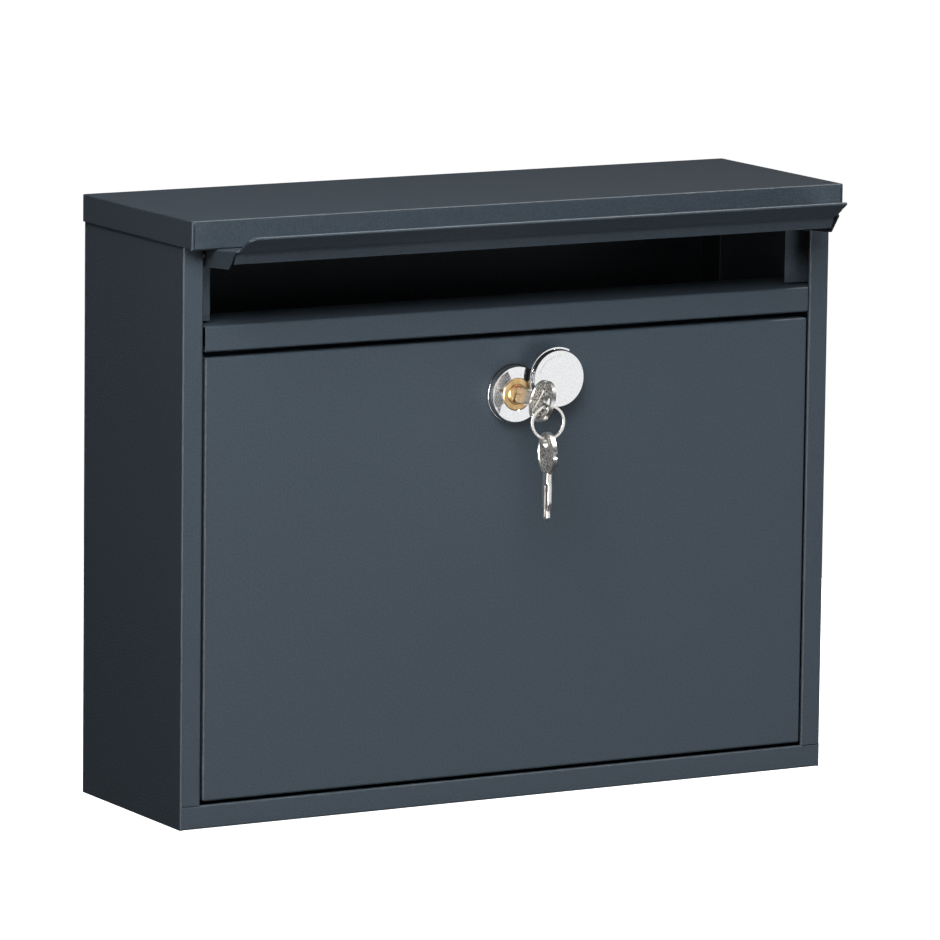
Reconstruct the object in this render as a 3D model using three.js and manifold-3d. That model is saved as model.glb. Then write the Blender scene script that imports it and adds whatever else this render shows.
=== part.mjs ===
// Wall mounted mailbox of folded, powder coated sheet steel: a case with an overhanging roof, a letter
// flap on two pins, a drop-down door, and a cam lock with a swivelling dust cap, a key and a spare key.
// Millimetres. +Z is up, the wall is the plane Y = 0 and the front of the case faces -Y.
// The origin is the middle of the back panel's wall face.
import * as THREE from "three";
import { mergeVertices } from "three/addons/utils/BufferGeometryUtils.js";
import Module from "manifold-3d";

// ---- Driving dimensions ----------------------------------------------------------------------------
const WIDTH = 366; // case, side to side
const HEIGHT = 300; // case and roof
const DEPTH = 106; // wall to the front plane of the case
const SHEET = 0.8; // steel sheet
const GAP = 0.2; // between pieces that touch

const STILE = 11; // width of the upright front flanges
const RAIL_FOOT = 11.7; // height of the bottom rail
const ROOF_SKIRT = 13.5; // height of the roof's rim
const ROOF_FRONT = 10.5; // roof's overhang at the front
const ROOF_SIDE = 1; // roof's overhang at each side

const CROSS_BOTTOM = 234.4; // cross rail between slot and door, above the case's bottom
const CROSS_TOP = 247.1;
const CROSS_LEFT = 12.2; // its visible ends, from the case's left side
const CROSS_RIGHT = 354;
const SHELF = 40; // depth of the shelf behind the cross rail
const CATCH = 14; // depth of the flange that the cam locks behind

const DOOR_INSET = 12.3; // case side to door edge
const DOOR_BOTTOM = 13.5;
const DOOR_TOP = 231.5;
const DOOR_RIM = 9; // depth of the folded rim
const DOOR_PIN_DEPTH = 6; // hinge axis behind the front plane
const DOOR_PIN_HEIGHT = 18.3;

const FLAP_INSET = 12.5; // case side to flap cheek
const FLAP_PIN_DEPTH = 3.6;
const FLAP_PIN_HEIGHT = 281.3;
const FLAP_RAISED = 94; // degrees from closed, as the part is stored
const FLAP_TOP = 3; // plate above the pin
const FLAP_LENGTH = 33.4; // plate below the pin
const CHEEK = 5.6; // cheek behind the pin
const PIN_RADIUS = 1.75;

const LOCK_HEIGHT = 203.9; // lock axis above the case's bottom
const ROSETTE_RADIUS = 14.3;
const ROSETTE_THICK = 4.9;
const BARREL_RADIUS = 7.9;
const BARREL_BACK = 14; // barrel behind the front plane
const PLUG_RADIUS = 4.9;
const PLUG_TURNED = 16; // degrees clockwise from an upright keyway
const CAM_LENGTH = 38;
const CAP_RADIUS = 15;
const CAP_THICK = 4.4;
const CAP_PIVOT = [10.4, 3.6]; // from the lock axis, X and Z

const BOW = 21; // key head, along the key and across it
const KEY_THICK = 2.2;
const COLLAR = 4.2;
const BLADE = 19;
const BLADE_WIDTH = 8;
const KEY_DRAWN = 9.8; // how far the key stands out of its fully home position
const RING_HOLE = 5.8; // ring hole's distance from the middle of the bow
const RING_HOLE_RADIUS = 3.15;
const RING_RADIUS = 8.25; // middle of the wire
const RING_WIRE = 1.3;
const RING_WIDTH = 1.7;
const RING_DROP = 1.4; // wire below the middle of the hole it hangs in

const LEFT = -WIDTH / 2;
const FRONT = -DEPTH;
const BOTTOM = -HEIGHT / 2;
const TOP = HEIGHT / 2;
const LOCK_Z = BOTTOM + LOCK_HEIGHT;
const rad = THREE.MathUtils.degToRad;

// ---- Geometry helpers ------------------------------------------------------------------------------
const wasm = await Module();
wasm.setup();

function solid(geometry) {
  const bare = geometry.clone();
  bare.deleteAttribute("normal");
  bare.deleteAttribute("uv");
  const merged = mergeVertices(bare, 1e-4);
  return new wasm.Manifold(
    new wasm.Mesh({
      numProp: 3,
      vertProperties: merged.attributes.position.array,
      triVerts: new Uint32Array(merged.index.array),
    }),
  );
}

function geometryOf(body) {
  const mesh = body.getMesh();
  const geometry = new THREE.BufferGeometry();
  geometry.setAttribute("position", new THREE.BufferAttribute(mesh.vertProperties, 3));
  geometry.setIndex(new THREE.BufferAttribute(mesh.triVerts, 1));
  const faceted = geometry.toNonIndexed();
  faceted.computeVertexNormals();
  return faceted;
}

const join = (...geometries) => geometryOf(geometries.map(solid).reduce((a, b) => a.add(b)));

const cut = (geometry, ...tools) =>
  geometryOf(tools.map(solid).reduce((a, b) => a.subtract(b), solid(geometry)));

function box([x0, x1], [y0, y1], [z0, z1]) {
  const geometry = new THREE.BoxGeometry(x1 - x0, y1 - y0, z1 - z0);
  return geometry.translate((x0 + x1) / 2, (y0 + y1) / 2, (z0 + z1) / 2);
}

// A cylinder whose axis runs along X or along Y.
function rodX(radius, [x0, x1], y, z, sides = 24) {
  const geometry = new THREE.CylinderGeometry(radius, radius, x1 - x0, sides);
  return geometry.rotateZ(-Math.PI / 2).translate((x0 + x1) / 2, y, z);
}

function rodY(radius, [y0, y1], x = 0, z = 0, sides = 48) {
  const geometry = new THREE.CylinderGeometry(radius, radius, y1 - y0, sides);
  return geometry.translate(x, (y0 + y1) / 2, z);
}

// An outline of [y, z] points, extruded along X.
function prismX(points, [x0, x1]) {
  const shape = new THREE.Shape(points.map(([y, z]) => new THREE.Vector2(y, z)));
  const geometry = new THREE.ExtrudeGeometry(shape, { depth: x1 - x0, bevelEnabled: false });
  const turn = new THREE.Matrix4().makeBasis(
    new THREE.Vector3(0, 1, 0),
    new THREE.Vector3(0, 0, 1),
    new THREE.Vector3(1, 0, 0),
  );
  return geometry.applyMatrix4(turn).translate(x0, 0, 0);
}

// A shape drawn in X and Z, extruded along Y.
function slabY(shape, [y0, y1], curveSegments = 24) {
  const geometry = new THREE.ExtrudeGeometry(shape, {
    depth: y1 - y0,
    bevelEnabled: false,
    curveSegments,
  });
  return geometry.rotateX(Math.PI / 2).translate(0, y1, 0);
}

const up = (height) => BOTTOM + height; // height above the case's bottom
const back = (depth) => FRONT + depth; // depth behind the front plane
const side = (inset, right) => (right ? -LEFT - inset : LEFT + inset);
const span = (a, b) => [Math.min(a, b), Math.max(a, b)];
const sides = (right, a, b) => span(side(a, right), side(b, right));

const mailbox = new THREE.Group();

function place(name, geometry, material, parent = mailbox) {
  const mesh = new THREE.Mesh(geometry, new THREE.MeshStandardMaterial(material));
  mesh.name = name;
  parent.add(mesh);
  return mesh;
}

const POWDER = { color: "#3b444c", roughness: 0.55, metalness: 0 };
const ZINC = { color: "#a9adaf", roughness: 0.4, metalness: 1 };
const CHROME = { color: "#e4e6e7", roughness: 0.12, metalness: 1 };
const BRASS = { color: "#d9b36c", roughness: 0.28, metalness: 1 };
const NICKEL = { color: "#c3bfb8", roughness: 0.25, metalness: 1 };

// ---- Case ------------------------------------------------------------------------------------------
const CASE_TOP = TOP - SHEET - GAP;

function roofCap() {
  const x = LEFT - ROOF_SIDE;
  const y = FRONT - ROOF_FRONT;
  const outside = box([x, -x], [y, 0], [TOP - ROOF_SKIRT, TOP]);
  const inside = box([x + SHEET, -x - SHEET], [y + SHEET, 1], [TOP - ROOF_SKIRT - 1, TOP - SHEET]);
  return cut(outside, inside);
}

// Four round holes take the wall screws.
const SCREW_HOLE = 3.5;
const SCREW_X = 130;
const SCREW_Z = 122;

function backPanel() {
  const holes = [-1, 1].flatMap((i) =>
    [-1, 1].map((j) => rodY(SCREW_HOLE, [-5, 5], i * SCREW_X, j * SCREW_Z, 24)),
  );
  return cut(box([LEFT, -LEFT], [-SHEET, 0], [BOTTOM, CASE_TOP]), ...holes);
}

// Side wall with the front stile and a rear flange folded inwards; the bottom rail runs in front of its foot.
function sidePanel(right) {
  const rear = -SHEET - GAP;
  const rearFlange = 12;
  return join(
    box(sides(right, 0, SHEET), [back(SHEET + GAP), rear], [BOTTOM, CASE_TOP]),
    box(sides(right, 0, STILE), [FRONT, back(SHEET)], [up(RAIL_FOOT + GAP), CASE_TOP]),
    box(sides(right, 0, SHEET), [FRONT, back(2)], [up(RAIL_FOOT + GAP), CASE_TOP]),
    box(sides(right, 0, rearFlange), [rear - SHEET, rear], [up(RAIL_FOOT + 1), CASE_TOP]),
  );
}

function bottomPan() {
  const x = LEFT + SHEET + GAP;
  const rear = -SHEET - GAP;
  const flange = (x0) => box([x0, x0 + SHEET], [back(SHEET), rear], [BOTTOM, up(RAIL_FOOT)]);
  return join(
    box([x, -x], [FRONT, rear], [BOTTOM, up(SHEET)]),
    box([LEFT, -LEFT], [FRONT, back(SHEET)], [BOTTOM, up(RAIL_FOOT)]),
    box([x, -x], [rear - SHEET, rear], [BOTTOM, up(RAIL_FOOT)]),
    flange(x),
    flange(-x - SHEET),
  );
}

// C-shaped rail: a deep shelf under the letter slot and a short flange that the cam locks behind.
function crossRail() {
  const x = [LEFT + CROSS_LEFT, LEFT + CROSS_RIGHT];
  const behind = back(SHEET + GAP);
  const inner = LEFT + SHEET + GAP;
  const shelfZ = [up(CROSS_TOP - SHEET), up(CROSS_TOP)];
  const earZ = [up(CROSS_TOP - 10), up(CROSS_TOP)];
  return join(
    box(x, [FRONT, back(SHEET)], [up(CROSS_BOTTOM), up(CROSS_TOP)]),
    box(x, [FRONT, back(CATCH)], [up(CROSS_BOTTOM), up(CROSS_BOTTOM + SHEET)]),
    box(x, [FRONT, back(SHELF)], shelfZ),
    box([inner, -inner], [behind, back(SHELF)], shelfZ),
    box([inner, -inner], [back(SHELF - SHEET), back(SHELF)], [up(CROSS_TOP - 6), up(CROSS_TOP)]),
    box([inner, inner + SHEET], [behind, back(SHELF)], earZ),
    box([-inner - SHEET, -inner], [behind, back(SHELF)], earZ),
  );
}

place("roof_cap", roofCap(), POWDER);
place("back_panel", backPanel(), POWDER);
place("left_side_panel", sidePanel(false), POWDER);
place("right_side_panel", sidePanel(true), POWDER);
place("bottom_pan", bottomPan(), POWDER);
place("cross_rail", crossRail(), POWDER);

// ---- Hinge brackets behind the stiles --------------------------------------------------------------
const TAB = 8.5; // case side to the tab that holds a pin
const STRIP = 10.3; // depth of the strip that a flap cheek closes against

function flapBracket(right) {
  const z = [up(CROSS_TOP + 1.1), up(FLAP_PIN_HEIGHT + 4)];
  const tab = box(
    sides(right, TAB, TAB + SHEET),
    [back(1.2), back(STRIP + SHEET)],
    [up(FLAP_PIN_HEIGHT - 7), z[1]],
  );
  const hole = rodX(PIN_RADIUS + GAP, sides(right, TAB - 2, TAB + 3), ...flapAxis());
  return cut(
    join(
      box(sides(right, 1, 19.7), [back(STRIP), back(STRIP + SHEET)], z),
      box(sides(right, 1, 1 + SHEET), [back(STRIP), back(STRIP + 12)], z),
      tab,
    ),
    hole,
  );
}

function doorBracket(right) {
  const z = [up(RAIL_FOOT + 0.6), up(DOOR_PIN_HEIGHT + 8)];
  const rear = DOOR_RIM + 5;
  const hole = rodX(PIN_RADIUS + GAP, sides(right, TAB - 2, TAB + 3), ...doorAxis());
  return cut(
    join(
      box(sides(right, TAB, TAB + SHEET), [back(1.2), back(rear)], z),
      box(sides(right, 1, TAB + SHEET), [back(rear - SHEET), back(rear)], z),
      box(sides(right, 1, 1 + SHEET), [back(rear - SHEET), back(rear + 12)], z),
    ),
    hole,
  );
}

function flapAxis() {
  return [back(FLAP_PIN_DEPTH), up(FLAP_PIN_HEIGHT)];
}

function doorAxis() {
  return [back(DOOR_PIN_DEPTH), up(DOOR_PIN_HEIGHT)];
}

// Shouldered pin through a folded edge, its head on the inside.
function hingePin(right, inset, [y, z]) {
  return join(
    rodX(PIN_RADIUS, sides(right, TAB - 0.8, inset + 2.5), y, z),
    rodX(2.5, sides(right, inset + SHEET + GAP, inset + 2.5), y, z),
  );
}

for (const [name, right] of [["left", false], ["right", true]]) {
  place(`flap_bracket_${name}`, flapBracket(right), POWDER);
  place(`door_bracket_${name}`, doorBracket(right), POWDER);
}

// ---- Letter flap -----------------------------------------------------------------------------------
// Drawn closed about its own pin axis, [y, z] with -y forwards, then swung up.
const LIP_ROOT = [-1.7, -30.3]; // where the lip's inner layer turns into the return flange
const LIP_END = [-9.3, -45.4];
const RETURN_END = [3, -25.45];

function flapPanel() {
  const x = [LEFT + FLAP_INSET, -LEFT - FLAP_INSET];
  const face = -FLAP_PIN_DEPTH;
  const plate = prismX(
    [[face, FLAP_TOP], [face, -FLAP_LENGTH], [face + SHEET, -FLAP_LENGTH], [face + SHEET, FLAP_TOP]],
    x,
  );
  const lipX = [x[0] + 2, x[1] - 2];
  const along = new THREE.Vector2(LIP_END[0] - LIP_ROOT[0], LIP_END[1] - LIP_ROOT[1]).normalize();
  const out = [along.y * 2 * SHEET, -along.x * 2 * SHEET]; // two layers of sheet, towards the front
  const lip = prismX(
    [LIP_ROOT, [face + SHEET, -29], [face, -FLAP_LENGTH + 1],
      [LIP_END[0] + out[0], LIP_END[1] + out[1]], LIP_END],
    lipX,
  );
  const fold = prismX(
    [LIP_ROOT, RETURN_END, [RETURN_END[0] - 0.55, RETURN_END[1] + 0.6], [LIP_ROOT[0] - 0.9, LIP_ROOT[1] + 0.9]],
    lipX,
  );
  const cheek = (x0) =>
    prismX([[face, FLAP_TOP], [face, -FLAP_LENGTH], [CHEEK, -25.2], [CHEEK, FLAP_TOP]], [x0, x0 + SHEET]);
  const hole = (x0) => rodX(PIN_RADIUS + GAP / 2, [x0 - 1, x0 + 2], 0, 0);
  const ends = [x[0], x[1] - SHEET];
  return cut(join(plate, lip, fold, ...ends.map(cheek)), ...ends.map(hole));
}

const flap = new THREE.Group();
flap.position.set(0, ...flapAxis());
flap.rotation.x = rad(-FLAP_RAISED);
mailbox.add(flap);
place("flap_panel", flapPanel(), POWDER, flap);
place("flap_pin_left", hingePin(false, FLAP_INSET, [0, 0]), ZINC, flap);
place("flap_pin_right", hingePin(true, FLAP_INSET, [0, 0]), ZINC, flap);

// ---- Door ------------------------------------------------------------------------------------------
function doorPanel() {
  const x = [LEFT + DOOR_INSET, -LEFT - DOOR_INSET];
  const outside = box(x, [FRONT, back(DOOR_RIM)], [up(DOOR_BOTTOM), up(DOOR_TOP)]);
  const inside = box(
    [x[0] + SHEET, x[1] - SHEET],
    [back(SHEET), back(DOOR_RIM + 1)],
    [up(DOOR_BOTTOM + SHEET), up(DOOR_TOP - SHEET)],
  );
  const lockHole = rodY(BARREL_RADIUS + GAP, [FRONT - 1, back(2)], 0, LOCK_Z);
  const pinHole = (right) => rodX(PIN_RADIUS + GAP / 2, sides(right, 11, 15), ...doorAxis());
  return cut(outside, inside, lockHole, pinHole(false), pinHole(true));
}

place("door_panel", doorPanel(), POWDER);
place("door_pin_left", hingePin(false, DOOR_INSET, doorAxis()), ZINC);
place("door_pin_right", hingePin(true, DOOR_INSET, doorAxis()), ZINC);

// ---- Lock, drawn about its own axis ----------------------------------------------------------------
const lock = new THREE.Group();
lock.position.set(0, FRONT, LOCK_Z);
mailbox.add(lock);

const FACE = -ROSETTE_THICK - GAP; // front of the barrel and plug
const PIVOT_RADIUS = 1.6;

function rosette() {
  const bore = BARREL_RADIUS + GAP / 2;
  const profile = [
    [bore, -GAP / 2],
    [ROSETTE_RADIUS, -GAP / 2],
    [ROSETTE_RADIUS, -ROSETTE_THICK + 1],
    [ROSETTE_RADIUS - 0.9, -ROSETTE_THICK],
    [bore, -ROSETTE_THICK],
    [bore, -GAP / 2],
  ].map(([r, y]) => new THREE.Vector2(r, y));
  const ring = new THREE.LatheGeometry(profile.reverse(), 64);
  const pivotHole = rodY(PIVOT_RADIUS + GAP / 2, [-ROSETTE_THICK - 1, -1.4], ...CAP_PIVOT, 20);
  return cut(ring, pivotHole);
}

// Threaded barrel that carries the plug.
function barrel() {
  return cut(rodY(BARREL_RADIUS, [FACE, BARREL_BACK]), rodY(PLUG_RADIUS + GAP, [FACE - 1, BARREL_BACK + 1]));
}

function hexNut() {
  const nut = new THREE.CylinderGeometry(12.7, 12.7, 3, 6).translate(0, SHEET + GAP + 1.5, 0);
  return cut(nut, rodY(BARREL_RADIUS + GAP / 2, [0, 6]));
}

place("lock_rosette", rosette(), CHROME, lock);
place("lock_barrel", barrel(), BRASS, lock);
place("lock_nut", hexNut(), ZINC, lock);

// Disc with a thumb rim on one side; it swings on a rivet set near the rosette's edge.
function dustCap() {
  const y = [FACE - 0.4 - CAP_THICK, FACE - 0.4];
  const rim = new THREE.Shape();
  rim.absarc(0, 0, CAP_RADIUS + 1.3, rad(62), rad(200), false);
  rim.absarc(0, 0, CAP_RADIUS - 2, rad(200), rad(62), true);
  const pivotHole = rodY(PIVOT_RADIUS + GAP / 2, [y[1] - 3, y[1] + 1], -CAP_PIVOT[0], -CAP_PIVOT[1], 20);
  const disc = rodY(CAP_RADIUS, y, 0, 0, 64);
  return cut(join(disc, slabY(rim, [y[1] - 2.6, y[1]], 16)), pivotHole);
}

const cap = place("lock_cap", dustCap(), CHROME, lock);
cap.position.set(2 * CAP_PIVOT[0], 0, 2 * CAP_PIVOT[1]);
place("cap_pivot", rodY(PIVOT_RADIUS, [FACE - 3, -1.6], ...CAP_PIVOT, 20), ZINC, lock);

// ---- Plug, cam and what holds the cam --------------------------------------------------------------
const plugGroup = new THREE.Group();
plugGroup.rotation.y = rad(PLUG_TURNED);
lock.add(plugGroup);

const PLUG_BACK = BARREL_BACK + 0.4;
const CAM_FRONT = BARREL_BACK + 0.8;
const CAM_THICK = 2;
const TAIL_HALF = 3;
const TAIL_BACK = CAM_FRONT + CAM_THICK + 0.4;
const CAM_SCREW_RADIUS = 1.8;

function plug() {
  const slot = box([-1.35, 1.35], [FACE - 1, FACE + BLADE + 0.4], [-BLADE_WIDTH / 2 - 0.2, BLADE_WIDTH / 2 + 0.2]);
  const tail = box([-TAIL_HALF, TAIL_HALF], [PLUG_BACK - 1, TAIL_BACK], [-TAIL_HALF, TAIL_HALF]);
  const thread = rodY(CAM_SCREW_RADIUS + 0.1, [PLUG_BACK + 0.6, TAIL_BACK + 1], 0, 0, 20);
  return cut(join(rodY(PLUG_RADIUS, [FACE, PLUG_BACK]), tail), slot, thread);
}

function cam() {
  const half = 6;
  const outline = new THREE.Shape();
  outline.absarc(0, 0, half, -Math.PI / 2, Math.PI / 2, false);
  outline.lineTo(-CAM_LENGTH + 4, half - 1);
  outline.lineTo(-CAM_LENGTH, half - 4);
  outline.lineTo(-CAM_LENGTH, -half + 4);
  outline.lineTo(-CAM_LENGTH + 4, -half + 1);
  const hole = TAIL_HALF + GAP;
  const square = box([-hole, hole], [CAM_FRONT - 1, CAM_FRONT + 3], [-hole, hole]);
  return cut(slabY(outline, [CAM_FRONT, CAM_FRONT + CAM_THICK], 12), square);
}

const WASHER = [TAIL_BACK + GAP, TAIL_BACK + GAP + 1];
const HEAD = [WASHER[1] + GAP, WASHER[1] + GAP + 2.2];

place("lock_plug", plug(), BRASS, plugGroup);
place("lock_cam", cam(), ZINC, plugGroup);
place(
  "cam_washer",
  cut(rodY(6, WASHER, 0, 0, 32), rodY(CAM_SCREW_RADIUS + 0.3, [WASHER[0] - 1, WASHER[1] + 1], 0, 0, 20)),
  ZINC,
  plugGroup,
);
place(
  "cam_screw",
  cut(
    join(rodY(3.6, HEAD, 0, 0, 32), rodY(CAM_SCREW_RADIUS, [PLUG_BACK + 0.9, HEAD[0] + 1], 0, 0, 20)),
    box([-4, 4], [HEAD[1] - 1, HEAD[1] + 1], [-0.5, 0.5]),
  ),
  ZINC,
  plugGroup,
);

// ---- Keys and ring ---------------------------------------------------------------------------------
// A key points along +Y from its shoulder at y = 0, lies in the YZ plane and has its bow on the -Y side.
function keyBlank() {
  const half = KEY_THICK / 2;
  const bowY = -COLLAR - BOW / 2;
  const bow = new THREE.CylinderGeometry(BOW / 2, BOW / 2, KEY_THICK, 48);
  const w = BLADE_WIDTH / 2;
  const blade = [
    [-0.5, -w], [BLADE * 0.45, -w], [BLADE * 0.52, -w + 0.9], [BLADE * 0.62, -w + 0.6],
    [BLADE * 0.7, -w + 1.5], [BLADE * 0.9, -w + 1.3], [BLADE, 0], [BLADE * 0.9, w - 1.3],
    [BLADE * 0.78, w - 1.6], [BLADE * 0.66, w - 0.5], [BLADE * 0.5, w], [-0.5, w],
  ];
  return cut(
    join(
      bow.rotateZ(Math.PI / 2).translate(0, bowY, 0),
      box([-1.5, 1.5], [-COLLAR - 1, 0], [-3.25, 3.25]),
      prismX(blade, [-half, half]),
    ),
    rodX(RING_HOLE_RADIUS, [-3, 3], bowY - RING_HOLE, 0, 28),
    rodX(1.5, [-3, 3], bowY, BOW / 2 + 0.2, 20),
  );
}

const keyHoleY = -COLLAR - BOW / 2 - RING_HOLE;

const doorKey = place("door_key", keyBlank(), NICKEL, plugGroup);
doorKey.position.y = FACE - KEY_DRAWN;

// The ring and the spare key hang plumb from the hole in the door key's bow.
const ring = new THREE.Group();
ring.position.set(0, FACE - KEY_DRAWN + keyHoleY, -RING_DROP - RING_RADIUS);
ring.rotation.z = rad(-10);
lock.add(ring);

function splitRing() {
  const r = [RING_RADIUS - RING_WIRE / 2, RING_RADIUS + RING_WIRE / 2];
  const h = RING_WIDTH / 2;
  const profile = [[r[0], -h], [r[1], -h], [r[1], h], [r[0], h], [r[0], -h]];
  return new THREE.LatheGeometry(profile.map(([x, y]) => new THREE.Vector2(x, y)), 48);
}

place("key_ring", splitRing(), NICKEL, ring);

const spareKey = place("spare_key", keyBlank(), NICKEL, lock);
spareKey.rotation.order = "ZXY";
spareKey.rotation.set(-Math.PI / 2, 0, rad(-8));
const spareHole = ring.position.z - RING_RADIUS - RING_DROP;
spareKey.position.set(0, ring.position.y, spareHole + keyHoleY);

export default mailbox;
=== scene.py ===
"""Wall mounted mailbox of folded, powder coated sheet steel, with a letter flap, a drop-down door,
a cam lock with a dust cap, and two keys on a split ring.

The pieces are formed in millimetres and scaled to metres when they are finished.
"""

import math

import bmesh
import bpy
from mathutils import Matrix, Vector


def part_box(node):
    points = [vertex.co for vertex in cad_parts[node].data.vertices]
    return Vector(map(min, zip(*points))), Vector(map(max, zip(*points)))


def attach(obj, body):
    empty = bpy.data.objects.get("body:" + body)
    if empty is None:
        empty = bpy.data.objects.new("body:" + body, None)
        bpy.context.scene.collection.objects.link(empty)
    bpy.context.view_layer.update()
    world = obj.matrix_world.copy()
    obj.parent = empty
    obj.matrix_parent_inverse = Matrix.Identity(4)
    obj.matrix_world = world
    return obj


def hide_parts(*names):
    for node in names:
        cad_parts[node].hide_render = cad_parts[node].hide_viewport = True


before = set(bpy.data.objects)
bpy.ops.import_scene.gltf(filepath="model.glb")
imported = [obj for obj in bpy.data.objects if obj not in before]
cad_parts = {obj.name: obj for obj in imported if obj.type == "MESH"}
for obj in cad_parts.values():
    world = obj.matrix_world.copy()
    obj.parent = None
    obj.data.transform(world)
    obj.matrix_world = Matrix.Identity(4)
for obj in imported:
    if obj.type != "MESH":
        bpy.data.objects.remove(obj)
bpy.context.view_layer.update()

METRE = 1000  # in millimetres
SHEET = 0.8
BEND = 1.2  # outer radius of a folded edge
DOUBLE = 0.002  # corners closer than this are one
NEAR = 0.1  # an edge this close to a place counts as being there
FACING = 0.9  # a face whose normal has this much of a direction in it faces that way


# ---- Workshop ---------------------------------------------------------------------------------------


def box_mm(node):
    """The two corners of a solid's box."""
    low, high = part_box(node)
    return low * METRE, high * METRE


def take(piece):
    """The piece becomes the only selected object and the active one."""
    if bpy.context.object and bpy.context.object.mode != "OBJECT":
        bpy.ops.object.mode_set(mode="OBJECT")
    bpy.ops.object.select_all(action="DESELECT")
    bpy.context.view_layer.objects.active = piece
    if piece:
        piece.select_set(True)


def edit(piece):
    """Opens the piece in edit mode."""
    take(piece)
    bpy.ops.object.mode_set(mode="EDIT")


def name_and_settle(name):
    """Names the new primitive and moves its place, turn and size into its mesh."""
    piece = bpy.context.object
    piece.name = name
    piece.data.name = name
    bpy.ops.object.transform_apply(location=True, rotation=True, scale=True)
    return piece


def block(name, low, high):
    """A block between two corners."""
    take(None)
    low, high = Vector(low), Vector(high)
    bpy.ops.mesh.primitive_cube_add(size=1, location=(low + high) / 2, scale=high - low)
    return name_and_settle(name)


def rod(name, start, end, radius, sides=48):
    """A round bar between two points on one axis."""
    take(None)
    start, end = Vector(start), Vector(end)
    along = end - start
    turn = along.to_track_quat("Z", "Y").to_euler()
    bpy.ops.mesh.primitive_cylinder_add(
        vertices=sides, radius=radius, depth=along.length, location=(start + end) / 2, rotation=turn
    )
    return name_and_settle(name)


def draw_line(name, points):
    """A chain of edges through the points, drawn by extruding one corner. The piece stays in edit mode."""
    take(None)
    bpy.ops.mesh.primitive_plane_add(size=1, location=(0, 0, 0))
    piece = name_and_settle(name)
    edit(piece)
    bpy.ops.mesh.select_mode(type="VERT")
    bpy.ops.mesh.select_all(action="SELECT")
    bpy.ops.mesh.merge(type="CENTER")
    bpy.ops.transform.translate(value=points[0])
    for before, after in zip(points, points[1:]):
        step = Vector(after) - Vector(before)
        bpy.ops.mesh.extrude_region_move(TRANSFORM_OT_translate={"value": step})
    return piece


def pick(piece, kind, test):
    """In edit mode, selects the corners, edges or faces that pass the test, and says how many."""
    bpy.ops.mesh.select_mode(type=kind)
    bpy.ops.mesh.select_all(action="DESELECT")
    mesh = bmesh.from_edit_mesh(piece.data)
    parts = {"VERT": mesh.verts, "EDGE": mesh.edges, "FACE": mesh.faces}[kind]
    chosen = [part for part in parts if test(part)]
    for part in chosen:
        part.select_set(True)
    bmesh.update_edit_mesh(piece.data)
    return len(chosen)


def middle(edge):
    """The point half way along an edge."""
    return (edge.verts[0].co + edge.verts[1].co) / 2


def run(edge, axis):
    """How far an edge goes along the x, y or z axis."""
    return abs(getattr(edge.verts[1].co - edge.verts[0].co, axis))


def is_bend(edge, least=0.2):
    """An inner edge whose two faces meet at an angle, in radians."""
    return len(edge.link_faces) == 2 and edge.calc_face_angle() > least


def is_rim(edge):
    """An edge of an open sheet."""
    return len(edge.link_faces) == 1


def pull(step):
    """Extrudes what is selected."""
    bpy.ops.mesh.extrude_region_move(TRANSFORM_OT_translate={"value": step})


def slice_at(place, normal):
    """Cuts every face along a plane."""
    bpy.ops.mesh.select_all(action="SELECT")
    bpy.ops.mesh.bisect(plane_co=place, plane_no=normal)


def round_bends(piece, radius, segments=5, test=is_bend):
    """Rounds the folds of a sheet before it gets its thickness."""
    pick(piece, "EDGE", test)
    bpy.ops.mesh.bevel(offset=radius, segments=segments, affect="EDGES", clamp_overlap=True)


def turn_mesh(piece, degrees, axis, centre):
    """Turns the whole mesh right-handed about an axis through the centre."""
    edit(piece)
    bpy.ops.mesh.select_all(action="SELECT")
    bpy.ops.transform.rotate(
        value=-math.radians(degrees), orient_axis=axis, orient_type="GLOBAL", center_override=centre
    )


def move_mesh(piece, step):
    """Moves the whole mesh, while its object stays at the origin."""
    edit(piece)
    bpy.ops.mesh.select_all(action="SELECT")
    bpy.ops.transform.translate(value=step)


def modify(piece, kind, **settings):
    """Adds a modifier with its settings and applies it."""
    take(piece)
    modifier = piece.modifiers.new(kind.title(), kind)
    for name, value in settings.items():
        setattr(modifier, name, value)
    bpy.ops.object.modifier_apply(modifier=modifier.name)


def clean(piece):
    """Merges doubles and turns the faces outwards. The piece stays in edit mode, all selected."""
    edit(piece)
    bpy.ops.mesh.select_all(action="SELECT")
    bpy.ops.mesh.remove_doubles(threshold=DOUBLE)
    bpy.ops.mesh.dissolve_degenerate(threshold=DOUBLE)
    bpy.ops.mesh.select_all(action="SELECT")
    bpy.ops.mesh.normals_make_consistent(inside=False)


def thicken(piece, offset=-1.0, sheet=SHEET):
    """Gives a folded surface the thickness of its sheet, inwards from the drawn side by default."""
    modify(piece, "SOLIDIFY", thickness=sheet, offset=offset, use_even_offset=True)


def break_edges(piece, width=0.16, segments=2, angle=50):
    """Rounds the cut edges, where the coating has flowed round them."""
    modify(
        piece, "BEVEL", width=width, segments=segments, limit_method="ANGLE",
        angle_limit=math.radians(angle), use_clamp_overlap=True,
    )


def cut(piece, *tools):
    """Takes the tools' shapes out of the piece."""
    for tool in tools:
        modify(piece, "BOOLEAN", object=tool, operation="DIFFERENCE", solver="EXACT")
        bpy.data.objects.remove(tool)


def weld(piece, *others):
    """Joins the others to the piece as one closed body."""
    for other in others:
        modify(piece, "BOOLEAN", object=other, operation="UNION", solver="EXACT")
        bpy.data.objects.remove(other)


def copy_of(piece, name):
    """The same piece once more, with its own mesh."""
    take(piece)
    bpy.ops.object.duplicate(linked=False)
    twin = bpy.context.object
    twin.name = name
    twin.data.name = name
    return twin


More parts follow.
